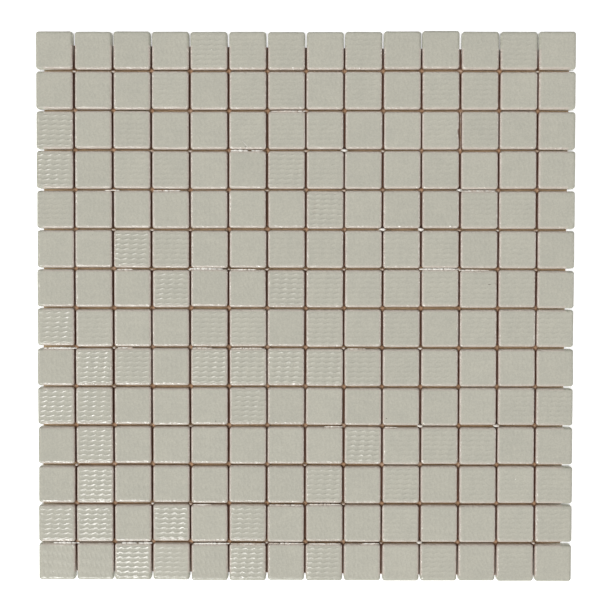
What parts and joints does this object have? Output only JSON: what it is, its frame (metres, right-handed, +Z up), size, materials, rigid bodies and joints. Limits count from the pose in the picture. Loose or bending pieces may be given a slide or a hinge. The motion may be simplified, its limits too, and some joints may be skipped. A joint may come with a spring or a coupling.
{
  "type": "paper-faced glass mosaic tile sheet",
  "caption": "Square sheet of small glass mosaic tiles laid face down on kraft paper, with their backs and open joints showing, ready to bed in adhesive.",
  "frame": {"origin": "under the middle of the tile field, on the underside of the kraft paper", "axes": "+Z up from the paper to the backs of the tiles, +Y towards the first row, +X to the right along a row"},
  "size_m": [0.2888, 0.296, 0.0041],
  "materials": {
    "vitreous_glass": "opaque pressed glass, warm grey, satin back",
    "kraft_paper": "brown kraft, matt, stained by paste"
  },
  "bodies": {
    "root": {"tile_row_01": "vitreous_glass", "tile_row_02": "vitreous_glass", "tile_row_03": "vitreous_glass", "tile_row_04": "vitreous_glass", "tile_row_05": "vitreous_glass", "tile_row_06": "vitreous_glass", "tile_row_07": "vitreous_glass", "tile_row_08": "vitreous_glass", "tile_row_09": "vitreous_glass", "tile_row_10": "vitreous_glass", "tile_row_11": "vitreous_glass", "tile_row_12": "vitreous_glass", "tile_row_13": "vitreous_glass", "tile_row_14": "vitreous_glass", "kraft_paper": "kraft_paper"}
  },
  "joints": []
}
